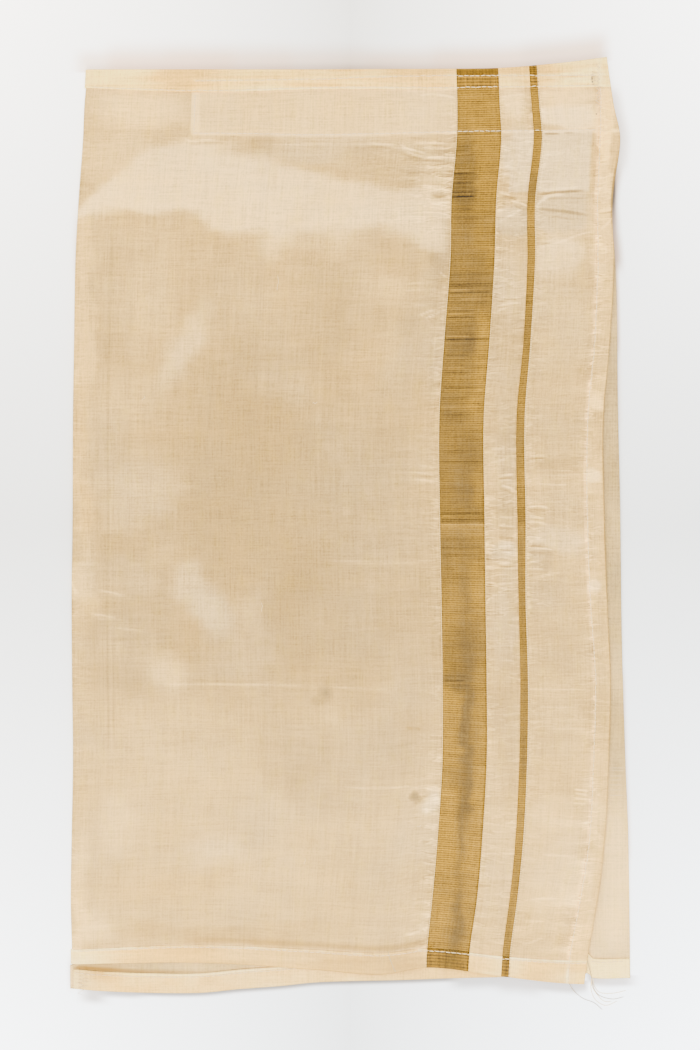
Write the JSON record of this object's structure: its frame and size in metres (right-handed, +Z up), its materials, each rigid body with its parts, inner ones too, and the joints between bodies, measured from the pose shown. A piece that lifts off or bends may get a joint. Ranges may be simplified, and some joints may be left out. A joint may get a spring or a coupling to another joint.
{
  "type": "folded ready-made dhoti",
  "caption": "Thin cream cloth garment, hemmed all round, with woven gold side bands, folded flat with its waist edge at one end.",
  "frame": {"origin": "middle of the underside, on the surface that the folded cloth lies on", "axes": "+Z up off the surface, +Y towards the waist edge, +X from the left fold towards the free side edge and the gold bands"},
  "size_m": [0.3369, 0.5621, 0.0085],
  "materials": {
    "cream_cloth": "sheer silk-like plain weave with a soft sheen",
    "cream_hem": "doubled plain weave, stitched and slightly puckered",
    "gold_zari": "ribbed metallic thread weave",
    "gold_reverse": "reverse of the metallic thread weave, duller and mottled",
    "under_cloth": "pressed layers of the same plain weave",
    "label_tape": "plain blank satin tape"
  },
  "bodies": {
    "root": {"front_leaf": "cream_cloth", "waist_hem": "cream_hem", "foot_hem": "cream_hem", "side_hem": "cream_hem", "zari_wide_on_leaf": "gold_zari", "zari_wide_on_waist_hem": "gold_reverse", "zari_wide_on_foot_hem": "gold_reverse", "zari_narrow_on_leaf": "gold_zari", "zari_narrow_on_waist_hem": "gold_reverse", "zari_narrow_on_foot_hem": "gold_reverse", "waist_strip": "under_cloth", "care_label": "label_tape", "folded_layers": "under_cloth", "lower_foot_hem": "cream_hem", "right_fold_foot_hem": "cream_hem"}
  },
  "joints": []
}
